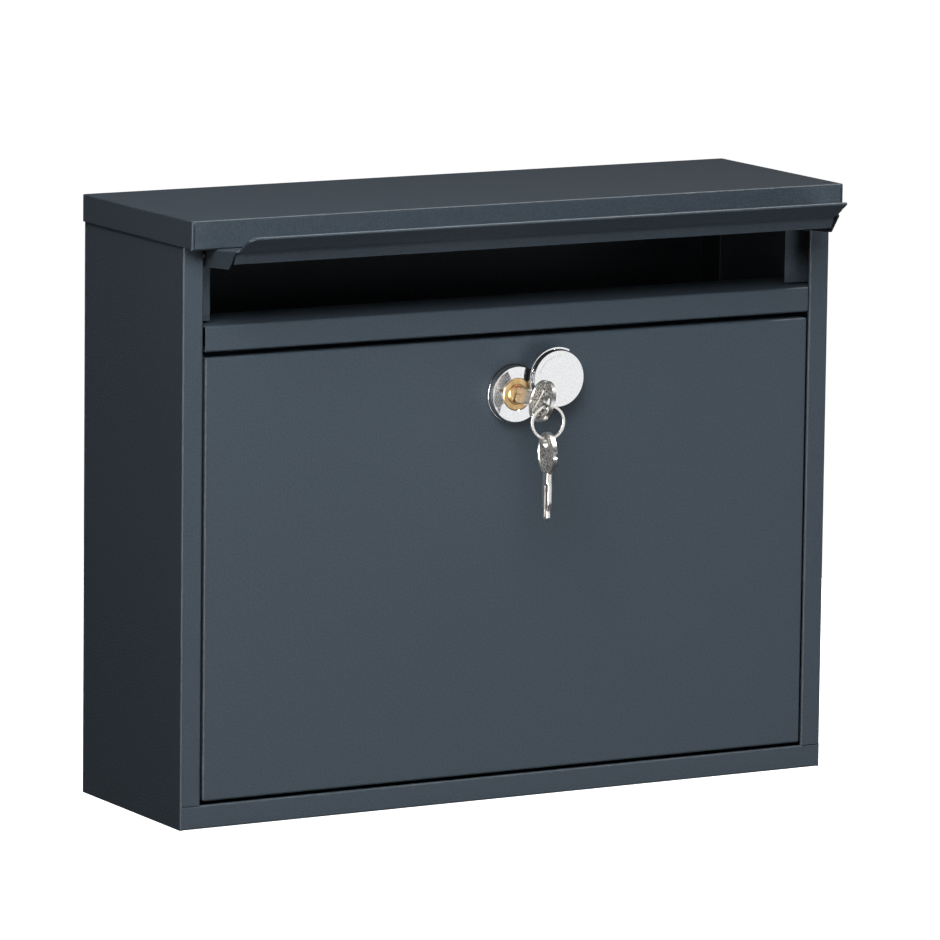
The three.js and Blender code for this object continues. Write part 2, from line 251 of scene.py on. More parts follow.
def mirrored(piece, name):
    """The same piece for the other side of the case."""
    twin = copy_of(piece, name)
    edit(twin)
    bpy.ops.mesh.select_all(action="SELECT")
    bpy.ops.transform.resize(value=(-1, 1, 1), center_override=(0, 0, 0))
    bpy.ops.mesh.normals_make_consistent(inside=False)
    take(twin)
    return twin


def lathe(name, profile, axis, centre=(0, 0, 0), steps=96):
    """Turns a closed profile of (along, radius) points about an axis through the centre."""
    along = {"X": Vector((1, 0, 0)), "Y": Vector((0, 1, 0))}[axis]
    across = Vector((0, 0, 1))
    centre = Vector(centre)
    points = [centre + along * a + across * r for a, r in profile]
    piece = draw_line(name, points)
    bpy.ops.mesh.select_all(action="SELECT")
    bpy.ops.mesh.spin(steps=steps, angle=math.tau, use_auto_merge=True, center=centre, axis=along)
    clean(piece)
    take(piece)
    return piece


def finish(piece, material, body, slot, *nodes, smooth=32):
    """Smooths and scales a piece, gives it its finish and puts it on its body."""
    take(piece)
    bpy.ops.transform.resize(value=(1 / METRE, 1 / METRE, 1 / METRE), center_override=(0, 0, 0))
    bpy.ops.object.transform_apply(location=True, rotation=True, scale=True)
    bpy.ops.object.shade_smooth_by_angle(angle=math.radians(smooth))
    modify(piece, "WEIGHTED_NORMAL", keep_sharp=True)
    if not piece.data.materials:
        piece.data.materials.append(material)
    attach(piece, body)
    if nodes:
        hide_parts(*nodes)
    return piece


def face_out(piece, direction):
    """Makes all normals agree, with the outermost face along the direction facing that way."""
    edit(piece)
    bpy.ops.mesh.select_all(action="SELECT")
    bpy.ops.mesh.remove_doubles(threshold=DOUBLE)
    bpy.ops.mesh.normals_make_consistent(inside=False)
    direction = Vector(direction)
    mesh = bmesh.from_edit_mesh(piece.data)
    level = [face for face in mesh.faces if abs(face.normal.dot(direction)) > FACING]
    outer = max(level, key=lambda face: face.calc_center_median().dot(direction))
    if outer.normal.dot(direction) < 0:
        bpy.ops.mesh.flip_normals()


# ---- Finishes ---------------------------------------------------------------------------------------


def linear(code):
    """An sRGB hex colour as linear red, green, blue and alpha."""
    parts = [int(code[i : i + 2], 16) / 255 for i in (1, 3, 5)]
    return [c / 12.92 if c <= 0.04045 else ((c + 0.055) / 1.055) ** 2.4 for c in parts] + [1]


def add(tree, kind, inputs=None, stops=(), **settings):
    """Adds a node with its settings, its values and its links. A node given as a value is linked by its
    first output. The stops are the places and colours along a colour ramp."""
    made = tree.nodes.new(kind)
    for name, value in settings.items():
        setattr(made, name, value)
    for stop, (place, colour) in enumerate(stops):
        made.color_ramp.elements[stop].position = place
        made.color_ramp.elements[stop].color = linear(colour)
    for name, value in (inputs or {}).items():
        if isinstance(value, bpy.types.Node):
            value = value.outputs[0]
        if isinstance(value, bpy.types.NodeSocket):
            tree.links.new(value, made.inputs[name])
        else:
            made.inputs[name].default_value = value
    return made


def new_finish(name):
    """An empty material, its node tree, and places on the piece in metres."""
    material = bpy.data.materials.new(name)
    material.use_nodes = True
    tree = material.node_tree
    tree.nodes.clear()
    return material, tree, add(tree, "ShaderNodeTexCoord").outputs["Object"]


# A noise's grey values lie mostly between these, so ramps and ranges start and end there.
DARK, PALE = 0.3, 0.7


def powder_coat():
    """Anthracite polyester powder coat, baked to a satin fine texture: dark blue grey, with a soft sheen
    that breaks up into a leathery grain. The real grain is about 0.4 mm and is drawn at 1 mm to show."""
    material, tree, place = new_finish("powder_coat_fine_texture")
    leather = add(tree, "ShaderNodeTexNoise", {"Vector": place, "Scale": METRE / 1.0, "Detail": 2})
    flow = add(tree, "ShaderNodeTexNoise", {"Vector": place, "Scale": METRE / 14, "Detail": 2})
    colour = add(
        tree, "ShaderNodeValToRGB", {"Fac": leather}, stops=[(DARK, "#39434c"), (PALE, "#444f59")]
    )
    sheen = add(
        tree, "ShaderNodeMapRange",
        {"Value": leather, "From Min": DARK, "From Max": PALE, "To Min": 0.42, "To Max": 0.54},
    )
    pebbled = add(tree, "ShaderNodeBump", {"Height": leather, "Distance": 0.30 / METRE, "Strength": 0.9})
    rolling = add(
        tree, "ShaderNodeBump",
        {"Height": flow, "Distance": 0.05 / METRE, "Strength": 0.2, "Normal": pebbled},
    )
    coat = add(
        tree, "ShaderNodeBsdfPrincipled",
        {
            "Base Color": colour, "Roughness": sheen, "IOR": 1.5, "Specular IOR Level": 0.25,
            "Normal": rolling,
        },
    )
    add(tree, "ShaderNodeOutputMaterial", {"Surface": coat})
    return material


def polished_chrome():
    """Die cast zinc with polished chrome plate: a clear mirror that waves slightly over the casting."""
    material, tree, place = new_finish("chrome_plated_zinc")
    wave = add(tree, "ShaderNodeTexNoise", {"Vector": place, "Scale": METRE / 9, "Detail": 1})
    haze = add(tree, "ShaderNodeTexNoise", {"Vector": place, "Scale": METRE / 0.7, "Detail": 3})
    colour = add(
        tree, "ShaderNodeValToRGB", {"Fac": haze}, stops=[(DARK, "#d9dbdc"), (PALE, "#e6e7e8")]
    )
    polish = add(
        tree, "ShaderNodeMapRange",
        {"Value": haze, "From Min": DARK, "From Max": PALE, "To Min": 0.05, "To Max": 0.08},
    )
    waved = add(tree, "ShaderNodeBump", {"Height": wave, "Distance": 0.05 / METRE, "Strength": 0.3})
    chrome = add(
        tree, "ShaderNodeBsdfPrincipled",
        {"Base Color": colour, "Metallic": 1.0, "Roughness": polish, "Normal": waved},
    )
    add(tree, "ShaderNodeOutputMaterial", {"Surface": chrome})
    return material


def cast_grain():
    """The sunk field of the rosette: chrome over a sandy casting, sparkling in dark and light specks."""
    material, tree, place = new_finish("chrome_over_sandy_casting")
    sand = add(tree, "ShaderNodeTexNoise", {"Vector": place, "Scale": METRE / 0.45, "Detail": 2})
    specks = add(
        tree, "ShaderNodeValToRGB", {"Fac": sand}, stops=[(0.42, "#6b6c6e"), (0.58, "#d2d3d4")]
    )
    sandy = add(tree, "ShaderNodeBump", {"Height": sand, "Distance": 0.30 / METRE, "Strength": 1.0})
    chrome = add(
        tree, "ShaderNodeBsdfPrincipled",
        {"Base Color": specks, "Metallic": 1.0, "Roughness": 0.28, "Normal": sandy},
    )
    add(tree, "ShaderNodeOutputMaterial", {"Surface": chrome})
    return material


def turned_brass():
    """Free-cutting brass faced on a lathe: pale gold with fine rings about the lock's axis.
    The tool's feed is about 0.1 mm and is drawn at 0.35 mm to show."""
    material, tree, place = new_finish("turned_brass")
    centred = add(
        tree, "ShaderNodeMapping", {"Vector": place, "Location": (0, 0, -LOCK_AXIS.z / METRE)}
    )
    rings = add(
        tree, "ShaderNodeTexWave",
        {"Vector": centred, "Scale": METRE / 0.35 / 20 * 3.14, "Distortion": 0.4, "Detail": 1},
        wave_type="RINGS", rings_direction="Y",
    )
    patina = add(tree, "ShaderNodeTexNoise", {"Vector": place, "Scale": METRE / 2.2, "Detail": 3})
    colour = add(
        tree, "ShaderNodeValToRGB", {"Fac": patina}, stops=[(DARK, "#c9a26c"), (PALE, "#e2c595")]
    )
    dullness = add(
        tree, "ShaderNodeMapRange",
        {"Value": patina, "From Min": DARK, "From Max": PALE, "To Min": 0.30, "To Max": 0.42},
    )
    ringed = add(
        tree, "ShaderNodeBump",
        {"Height": rings.outputs["Fac"], "Distance": 0.012 / METRE, "Strength": 0.4},
    )
    brass = add(
        tree, "ShaderNodeBsdfPrincipled",
        {"Base Color": colour, "Metallic": 1.0, "Roughness": dullness, "Normal": ringed},
    )
    add(tree, "ShaderNodeOutputMaterial", {"Surface": brass})
    return material


def zinc_plate():
    """Steel with bright zinc plate: pale blue grey, slightly cloudy where the bath left it uneven."""
    material, tree, place = new_finish("bright_zinc_plated_steel")
    cloud = add(
        tree, "ShaderNodeTexNoise",
        {"Vector": place, "Scale": METRE / 5, "Detail": 4, "Roughness": 0.6},
    )
    scuff = add(tree, "ShaderNodeTexNoise", {"Vector": place, "Scale": METRE / 0.5, "Detail": 2})
    colour = add(
        tree, "ShaderNodeValToRGB", {"Fac": cloud}, stops=[(DARK, "#9aa1a6"), (PALE, "#c9ccce")]
    )
    dullness = add(
        tree, "ShaderNodeMapRange",
        {"Value": cloud, "From Min": DARK, "From Max": PALE, "To Min": 0.24, "To Max": 0.40},
    )
    scuffed = add(tree, "ShaderNodeBump", {"Height": scuff, "Distance": 0.015 / METRE, "Strength": 0.4})
    zinc = add(
        tree, "ShaderNodeBsdfPrincipled",
        {"Base Color": colour, "Metallic": 1.0, "Roughness": dullness, "Normal": scuffed},
    )
    add(tree, "ShaderNodeOutputMaterial", {"Surface": zinc})
    return material


def nickel_plate():
    """Nickel plated brass key, milled: warm white metal with fine lines along the blade."""
    material, tree, place = new_finish("nickel_plated_key")
    drawn = add(tree, "ShaderNodeMapping", {"Vector": place, "Scale": (6, 1, 1)})
    lines = add(tree, "ShaderNodeTexNoise", {"Vector": drawn, "Scale": METRE / 1.6, "Detail": 3})
    haze = add(tree, "ShaderNodeTexNoise", {"Vector": place, "Scale": METRE / 1.1, "Detail": 3})
    colour = add(
        tree, "ShaderNodeValToRGB", {"Fac": haze}, stops=[(DARK, "#dedad4"), (PALE, "#f4f1ec")]
    )
    dullness = add(
        tree, "ShaderNodeMapRange",
        {"Value": haze, "From Min": DARK, "From Max": PALE, "To Min": 0.26, "To Max": 0.38},
    )
    milled = add(tree, "ShaderNodeBump", {"Height": lines, "Distance": 0.02 / METRE, "Strength": 0.4})
    nickel = add(
        tree, "ShaderNodeBsdfPrincipled",
        {"Base Color": colour, "Metallic": 1.0, "Roughness": dullness, "Normal": milled},
    )
    add(tree, "ShaderNodeOutputMaterial", {"Surface": nickel})
    return material


def stamped_nickel():
    """The bow's sunk faces, struck with a grained die: nickel that breaks into dark and light specks."""
    material, tree, place = new_finish("nickel_struck_with_grain")
    pits = add(tree, "ShaderNodeTexNoise", {"Vector": place, "Scale": METRE / 0.85, "Detail": 2})
    specks = add(
        tree, "ShaderNodeValToRGB", {"Fac": pits}, stops=[(0.44, "#5f5953"), (0.57, "#f6f2ea")]
    )
    pitted = add(tree, "ShaderNodeBump", {"Height": pits, "Distance": 0.6 / METRE, "Strength": 1.0})
    nickel = add(
        tree, "ShaderNodeBsdfPrincipled",
        {"Base Color": specks, "Metallic": 0.85, "Roughness": 0.42, "Normal": pitted},
    )
    add(tree, "ShaderNodeOutputMaterial", {"Surface": nickel})
    return material


def ring_steel():
    """Flat spring wire, nickel plated and tumbled: a bright soft-edged mirror."""
    material, tree, place = new_finish("nickel_plated_spring_wire")
    haze = add(tree, "ShaderNodeTexNoise", {"Vector": place, "Scale": METRE / 0.8, "Detail": 2})
    colour = add(
        tree, "ShaderNodeValToRGB", {"Fac": haze}, stops=[(DARK, "#dcdad6"), (PALE, "#f3f1ee")]
    )
    dullness = add(
        tree, "ShaderNodeMapRange",
        {"Value": haze, "From Min": DARK, "From Max": PALE, "To Min": 0.22, "To Max": 0.34},
    )
    tumbled = add(tree, "ShaderNodeBump", {"Height": haze, "Distance": 0.01 / METRE, "Strength": 0.3})
    wire = add(
        tree, "ShaderNodeBsdfPrincipled",
        {"Base Color": colour, "Metallic": 1.0, "Roughness": dullness, "Normal": tumbled},
    )
    add(tree, "ShaderNodeOutputMaterial", {"Surface": wire})
    return material


def red_enamel():
    """A drop of red lacquer in the plug's timing mark."""
    material, tree, place = new_finish("red_lacquer")
    drop = add(tree, "ShaderNodeTexNoise", {"Vector": place, "Scale": METRE / 0.6, "Detail": 1})
    colour = add(
        tree, "ShaderNodeValToRGB", {"Fac": drop}, stops=[(DARK, "#b0141a"), (PALE, "#d3202a")]
    )
    uneven = add(tree, "ShaderNodeBump", {"Height": drop, "Distance": 0.02 / METRE, "Strength": 0.5})
    lacquer = add(
        tree, "ShaderNodeBsdfPrincipled",
        {"Base Color": colour, "Roughness": 0.25, "IOR": 1.5, "Normal": uneven},
    )
    add(tree, "ShaderNodeOutputMaterial", {"Surface": lacquer})
    return material


def pale_floor():
    """Matt white studio floor, lit from within so that it is as white as the air behind it."""
    material, tree, place = new_finish("studio_floor_white")
    shade = add(tree, "ShaderNodeTexNoise", {"Vector": place, "Scale": METRE / 900, "Detail": 2})
    colour = add(
        tree, "ShaderNodeValToRGB", {"Fac": shade}, stops=[(DARK, "#f4f4f4"), (PALE, "#fafafa")]
    )
    paint = add(
        tree, "ShaderNodeBsdfPrincipled",
        {
            "Base Color": colour, "Roughness": 0.9, "Emission Color": linear("#ffffff"),
            "Emission Strength": 1.0,
        },
    )
    add(tree, "ShaderNodeOutputMaterial", {"Surface": paint})
    return material


# ---- Measures, in millimetres -----------------------------------------------------------------------

wall_low, wall_high = box_mm("left_side_panel")
rail_low, rail_high = box_mm("cross_rail")
door_low, door_high = box_mm("door_panel")
barrel_low, barrel_high = box_mm("lock_barrel")
flap_pin_low, flap_pin_high = box_mm("flap_pin_left")
door_pin_low, door_pin_high = box_mm("door_pin_left")

LEFT = wall_low.x
FRONT = wall_low.y
REAR = wall_high.y
FOOT = wall_low.z
HEAD = wall_high.z
RAIL_TOP = box_mm("bottom_pan")[1].z
STILE = 11  # width of the upright front flanges
LIP = 1.9  # depth of the rolled edge round the door's opening
LOCK_AXIS = Vector((0, FRONT, (barrel_low.z + barrel_high.z) / 2))
NOSE = barrel_low.y - FRONT  # front of the barrel and plug, from the door's face
FLAP_AXIS = (flap_pin_low + flap_pin_high) / 2
DOOR_AXIS = (door_pin_low + door_pin_high) / 2
PIN_HOLE = 1.85  # radius in the flap and the door
BRACKET_HOLE = 1.95  # radius

COAT = powder_coat()
CHROME = polished_chrome()
CAST = cast_grain()
BRASS = turned_brass()
ZINC = zinc_plate()
NICKEL = nickel_plate()
STAMPED = stamped_nickel()
RING_STEEL = ring_steel()
RED = red_enamel()


# ---- Case -------------------------------------------------------------------------------------------


def roof():
    """One sheet folded down on three sides, with a butt seam beside each front corner."""
    low, high = box_mm("roof_cap")
    seam, seam_width, seam_depth = high.x - 1.5, 0.5, 0.7
    seam_top = high.z - 2.2
    piece = block("roof_sheet", low, high)
    edit(piece)
    pick(piece, "FACE", lambda f: f.normal.z < -FACING or f.normal.y > FACING)
    bpy.ops.mesh.delete(type="FACE")
    round_bends(piece, 0.7, test=lambda e: is_bend(e) and run(e, "z") > 5)
    round_bends(piece, 1.5, test=lambda e: is_bend(e) and middle(e).z > high.z - 0.01)
    for side in (-1, 1):
        slice_at((side * seam, 0, 0), (1, 0, 0))
        slice_at((side * (seam + seam_width), 0, 0), (1, 0, 0))
    slice_at((0, 0, seam_top), (0, 0, 1))

    def in_seam(face):
        place = face.calc_center_median()
        return face.normal.y < -FACING and seam < abs(place.x) < seam + seam_width and place.z < seam_top

    pick(piece, "FACE", in_seam)
    pull((0, seam_depth, 0))
    face_out(piece, (0, 0, 1))
    thicken(piece)
    break_edges(piece)
    return finish(piece, COAT, "case", "powder_coat", "roof_cap")


def side_wall():
    """Side wall, front stile with a rolled inner edge, and a flange against the back."""
    foot = RAIL_TOP + 0.06  # a hairline over the bottom rail
    notch = FRONT + 1.4  # behind this the wall goes on down to the case's foot
    flange = 12
    piece = draw_line(
        "left_side_sheet",
        [
            (LEFT + flange, REAR, foot), (LEFT, REAR, foot), (LEFT, notch, foot), (LEFT, FRONT, foot),
            (LEFT + STILE, FRONT, foot), (LEFT + STILE, FRONT + LIP, foot),
        ],
    )
    bpy.ops.mesh.select_all(action="SELECT")
    pull((0, 0, HEAD - foot))
    pick(
        piece, "EDGE",
        lambda e: is_rim(e) and middle(e).z < foot + NEAR and abs(middle(e).x - LEFT) < NEAR
        and middle(e).y > notch + NEAR,
    )
    pull((0, 0, FOOT - foot))
    round_bends(piece, BEND)
    face_out(piece, (-1, 0, 0))
    thicken(piece)
    break_edges(piece, 0.12)
    return piece


def back_sheet():
    """Flat back with four 7 mm screw holes."""
    low, high = box_mm("back_panel")
    across, up = 130, 122
    piece = block("back_sheet", low, high)
    holes = [
        rod("hole", (x, low.y - 5, z), (x, high.y + 5, z), 3.5)
        for x in (-across, across)
        for z in (-up, up)
    ]
    cut(piece, *holes)
    break_edges(piece, 0.2)
    return finish(piece, COAT, "case", "powder_coat", "back_panel")


def bottom_sheet():
    """Pan whose front flange is the bottom rail and wraps round the case's corners."""
    left = LEFT + 1  # the floor fits between the side walls
    walls_from, walls_to = FRONT + 2.4, REAR - 2.4
    wrap, wrap_depth, wrap_bend = 1, 0.95, 0.9
    piece = draw_line(
        "bottom_sheet",
        [
            (left, FRONT + LIP, RAIL_TOP), (left, FRONT, RAIL_TOP), (left, FRONT, FOOT),
            (left, REAR, FOOT), (left, REAR, RAIL_TOP),
        ],
    )
    bpy.ops.mesh.select_all(action="SELECT")
    pull((-2 * left, 0, 0))
    slice_at((0, walls_from, 0), (0, 1, 0))
    slice_at((0, walls_to, 0), (0, 1, 0))
    pick(
        piece, "EDGE",
        lambda e: is_rim(e) and abs(middle(e).x) > -left - NEAR and middle(e).z < FOOT + NEAR
        and walls_from - NEAR < middle(e).y < walls_to + NEAR,
    )
    pull((0, 0, RAIL_TOP - FOOT))
    for side in (-1, 1):
        pick(
            piece, "EDGE",
            lambda e: is_rim(e) and middle(e).x * side > -left - NEAR and abs(middle(e).y - FRONT) < NEAR,
        )
        pull((side * wrap, 0, 0))
        pull((0, wrap_depth, 0))
    round_bends(piece, wrap_bend, test=lambda e: is_bend(e) and abs(middle(e).x) > -left + wrap / 2)
    round_bends(piece, BEND, test=lambda e: is_bend(e) and abs(middle(e).x) < -left + NEAR)
    face_out(piece, (0, 0, -1))
    thicken(piece)
    break_edges(piece, 0.12)
    return finish(piece, COAT, "case", "powder_coat", "bottom_pan")


def cross_rail():
    """C-shaped rail, with the shelf of the letter slot behind it and a short flange for the cam."""
    left, right = LEFT + 12.2, LEFT + 354
    shelf = rail_high.y
    cam_flange, tail, ear = 14, 6, 10
    piece = draw_line(
        "cross_rail_sheet",
        [
            (left, FRONT + cam_flange, rail_low.z), (left, FRONT, rail_low.z),
            (left, FRONT, rail_high.z), (left, shelf, rail_high.z), (left, shelf, rail_high.z - tail),
        ],
    )
    bpy.ops.mesh.select_all(action="SELECT")
    pull((right - left, 0, 0))
    slice_at((0, FRONT + 2, 0), (0, 1, 0))
    for end, reach in ((left, rail_low.x - left), (right, rail_high.x - right)):
        pick(
            piece, "EDGE",
            lambda e: is_rim(e) and abs(middle(e).x - end) < NEAR and middle(e).z > rail_high.z - NEAR
            and middle(e).y > FRONT + 2,
        )
        pull((reach, 0, 0))
        pull((0, 0, -ear))
    round_bends(piece, BEND)
    face_out(piece, (0, 0, 1))
    thicken(piece)
    break_edges(piece, 0.3, segments=3)
    return finish(piece, COAT, "case", "powder_coat", "cross_rail")


def flap_bracket():
    """Folded strip behind the stile, with a tab bent forwards for the flap's pin."""
    low, high = box_mm("flap_bracket_left")
    strip_y = FRONT + 10.3
    piece = draw_line(
        "flap_bracket_left_sheet",
        [(LEFT + 1, high.y, low.z), (LEFT + 1, strip_y, low.z), (high.x, strip_y, low.z)],
    )
    bpy.ops.mesh.select_all(action="SELECT")
    pull((0, 0, high.z - low.z))
    round_bends(piece, BEND)
    face_out(piece, (0, -1, 0))
    thicken(piece)
    tab = block("tab", (LEFT + 8.5, low.y, FLAP_AXIS.z - 7), (LEFT + 9.3, strip_y + 0.4, high.z))
    edit(tab)
    pick(tab, "EDGE", lambda e: middle(e).y < low.y + NEAR and run(e, "x") > NEAR)
    bpy.ops.mesh.bevel(offset=3, segments=6, affect="EDGES")
    weld(piece, tab)
    cut(piece, rod("hole", (LEFT, *FLAP_AXIS.yz), (LEFT + 13, *FLAP_AXIS.yz), BRACKET_HOLE, 32))
    break_edges(piece, 0.12)
    return piece


def door_bracket():
    """Folded Z that carries the door's pin inside the stile."""
    low, high = box_mm("door_bracket_left")
    rear = FRONT + 13.6
    wall, tab = LEFT + 1.4, LEFT + 8.9
    piece = draw_line(
        "door_bracket_left_sheet",
        [(wall, high.y, low.z), (wall, rear, low.z), (tab, rear, low.z), (tab, low.y, low.z)],
    )
    bpy.ops.mesh.select_all(action="SELECT")
    pull((0, 0, high.z - low.z))
    round_bends(piece, BEND)
    face_out(piece, (0, -1, 0))
    thicken(piece, offset=0)
    cut(piece, rod("hole", (tab - 2.9, *DOOR_AXIS.yz), (tab + 3.1, *DOOR_AXIS.yz), BRACKET_HOLE, 32))
    break_edges(piece, 0.12)
    return piece


def hinge_pin(name, low, high):
    """Shouldered pin, its head on the inner side of the folded edge."""
    y, z = (low.y + high.y) / 2, (low.z + high.z) / 2
    shank, radius = 1.75, (high.z - low.z) / 2
    head = high.x - 1.6
    profile = [
        (low.x, 0), (low.x, shank - 0.3), (low.x + 0.3, shank), (head, shank), (head, radius),
        (high.x - 0.5, radius), (high.x - 0.15, radius - 0.25), (high.x, radius - 0.7), (high.x, 0),
    ]
    return lathe(name, profile, "X", (0, y, z), steps=40)


# ---- Letter flap ------------------------------------------------------------------------------------


def letter_flap():
    """Folded plate drawn hanging closed, then swung up: cheeks at its ends, and along its lower edge
    a hemmed lip and a narrow return."""
    left = LEFT + 12.5
    pin = FLAP_AXIS
    cheek, cheek_slant = 9.2, 8.2
    face, bottom = pin.y - 3.6, pin.z - 33.4
    root = Vector((0, pin.y - 1.7, pin.z - 30.3))
    end = Vector((0, pin.y - 9.3, pin.z - 45.32))
    along = (end - root).normalized()
    tip = end + Vector((0, along.z, -along.y)) * 2 * SHEET
    ledge = Vector((0, pin.y + 3.2, pin.z - 28.1))
    taper = 0.9935  # the lip is this much shorter than the plate
    piece = draw_line("flap_sheet", [(left, face, pin.z + 3), (left, face, bottom)])
    bpy.ops.mesh.select_all(action="SELECT")
    pull((-2 * left, 0, 0))
    slice_at((left + 2, 0, 0), (1, 0, 0))
    slice_at((-left - 2, 0, 0), (1, 0, 0))
    pick(piece, "EDGE", lambda e: is_rim(e) and middle(e).z < bottom + NEAR and abs(middle(e).x) < 1)
    before = Vector((0, face, bottom))
    for point, share in ((tip, taper), (end, 1), (root, 1 / taper), (ledge, 1)):
        pull(point - before)
        bpy.ops.transform.resize(value=(share, 1, 1), center_override=(0, 0, 0))
        before = point
    pick(piece, "EDGE", lambda e: is_rim(e) and abs(middle(e).x) > -left - NEAR)
    pull((0, cheek, 0))
    pick(
        piece, "VERT",
        lambda v: abs(v.co.x) > -left - NEAR and v.co.y > face + cheek - 0.2 and v.co.z < bottom + NEAR,
    )
    bpy.ops.transform.translate(value=(0, 0, cheek_slant))

    def on_lip(face):
        place = face.calc_center_median()
        return abs(place.x) < 1 and place.z < bottom

    # Two slanting cuts at each end round the lip's corner.
    for side in (-1, 1):
        for reach, lean in ((2.6, 1.0), (1.45, 0.42)):
            pick(piece, "FACE", on_lip)
            corner = tip + Vector((side * (-left - 3.1 - reach), 0, 0))
            across = Vector((side, 0, 0)) + along * lean
            bpy.ops.mesh.bisect(plane_co=corner, plane_no=across, clear_outer=True)
    hem = pin.z - 40  # the hemmed edge lies below this, the other folds above it
    round_bends(piece, 0.78, segments=4, test=lambda e: is_bend(e) and middle(e).z < hem)
    round_bends(piece, 1.1, test=lambda e: is_bend(e) and middle(e).z > hem)
    face_out(piece, (0, -1, 0))
    thicken(piece, sheet=0.76)
    for x in (left, -left - 1):
        cut(piece, rod("hole", (x - 2, pin.y, pin.z), (x + 3, pin.y, pin.z), PIN_HOLE, 32))
    break_edges(piece, 0.12)
    turn_mesh(piece, -94, "X", pin)
    return finish(piece, COAT, "flap", "powder_coat", "flap_panel")


# ---- Door -------------------------------------------------------------------------------------------


def at_lock(x, y, z):
    """A place by its distances from the lock's axis and from the door's face."""
    return LOCK_AXIS + Vector((x, y, z))


def door():
    """Folded tray with welded corners, a round hole for the lock and a hole for each hinge pin."""
    piece = block("door_sheet", door_low, door_high)
    edit(piece)
    pick(piece, "FACE", lambda f: f.normal.y > FACING)
    bpy.ops.mesh.delete(type="FACE")
    round_bends(piece, BEND)
    face_out(piece, (0, -1, 0))
    thicken(piece)
    cut(piece, rod("hole", at_lock(0, -3, 0), at_lock(0, 3, 0), 8.1, 96))
    for x in (door_low.x, door_high.x):
        cut(piece, rod("hole", (x - 2, *DOOR_AXIS.yz), (x + 2, *DOOR_AXIS.yz), PIN_HOLE, 32))
    break_edges(piece, 0.14)
    return finish(piece, COAT, "door", "powder_coat", "door_panel")


# ---- Lock -------------------------------------------------------------------------------------------

pivot_low, pivot_high = box_mm("cap_pivot")
PIVOT = (pivot_low + pivot_high) / 2
CAP_CENTRE = LOCK_AXIS + 2 * Vector((PIVOT.x - LOCK_AXIS.x, 0, PIVOT.z - LOCK_AXIS.z))
RIVET_HOLE = 1.7  # radius
TURNED = 16  # degrees that the plug stands clockwise of an upright keyway


def bearing(point, centre):
    """Distance from an axis along Y, and angle from +X towards +Z in degrees."""
    across = point - centre
    return math.hypot(across.x, across.z), math.degrees(math.atan2(across.z, across.x)) % 360


def rosette():
    """Stepped chrome ring with a sunk, sandy field on its left and a small notch beside the barrel."""
    front = -4.9
    profile = [
        (-0.1, 8.0), (-0.1, 14.6), (-0.3, 14.8), (-1.1, 14.8), (-1.25, 14.65), (-1.3, 14.35), (-4.2, 14.35),
        (-4.5, 14.3), (-4.72, 14.15), (-4.86, 13.9), (front, 13.6), (front, 13.0), (front, 8.7),
        (front, 8.25), (-4.75, 8.05), (-4.5, 8.0), (-0.1, 8.0),
    ]
    piece = lathe("rosette_ring", profile, "Y", LOCK_AXIS, steps=128)
    edit(piece)

    def in_field(face):
        radius, angle = bearing(face.calc_center_median(), LOCK_AXIS)
        return face.normal.y < -FACING and 8.7 < radius < 13.0 and 115 < angle < 207

    pick(piece, "FACE", in_field)
    pull((0, 0.7, 0))
    take(piece)
    piece.data.materials.append(CHROME)
    piece.data.materials.append(CAST)
    for face in piece.data.polygons:
        if face.normal.y < -FACING and front + 0.5 < face.center.y - LOCK_AXIS.y < -4:
            face.material_index = 1
    notch = block("notch", at_lock(-10, -6, -0.65), at_lock(-7.6, -1.8, 0.65))
    turn_mesh(notch, 15, "Y", LOCK_AXIS)
    bore = rod("bore", (PIVOT.x, PIVOT.y - 6, PIVOT.z), (PIVOT.x, FRONT - 1.4, PIVOT.z), RIVET_HOLE, 32)
    cut(piece, notch, bore)
    break_edges(piece, 0.1, angle=60)
    return finish(piece, CHROME, "door", "polished_chrome", "lock_rosette", smooth=25)


def barrel():
    """Brass barrel: a faced front and a coarse thread for the nut behind the door."""
    back, bore, crest, root = barrel_high.y - FRONT, 5.1, 7.9, 7.35
    turns, pitch = 12, 1.1
    profile = [
        (back, bore), (NOSE + 0.25, bore), (NOSE, bore + 0.2), (NOSE, crest - 0.3), (NOSE + 0.3, crest),
        (0.2, crest),
    ]
    for turn in range(turns):
        start = 0.4 + turn * pitch
        profile += [(start, crest), (start + 0.4, root), (start + 0.55, root), (start + 0.95, crest)]
    profile += [(back, crest - 0.2), (back, bore)]
    piece = lathe("barrel_body", profile, "Y", LOCK_AXIS, steps=96)
    break_edges(piece, 0.05, angle=70)
    return finish(piece, BRASS, "door", "lock_brass", "lock_barrel", smooth=25)


def hexagon_nut():
    """Chamfered hexagon nut that holds the barrel in the door."""
    low, high = box_mm("lock_nut")
    piece = rod("hexagon_nut", (0, low.y, LOCK_AXIS.z), (0, high.y, LOCK_AXIS.z), 12.7, 6)
    edit(piece)
    pick(piece, "FACE", lambda f: abs(f.normal.y) > FACING)
    bpy.ops.mesh.bevel(offset=0.7, segments=1, affect="EDGES")
    cut(piece, rod("bore", (0, low.y - 2, LOCK_AXIS.z), (0, high.y + 2, LOCK_AXIS.z), 8.0, 96))
    break_edges(piece, 0.25, angle=40)
    return finish(piece, ZINC, "door", "zinc_plated_steel", "lock_nut")


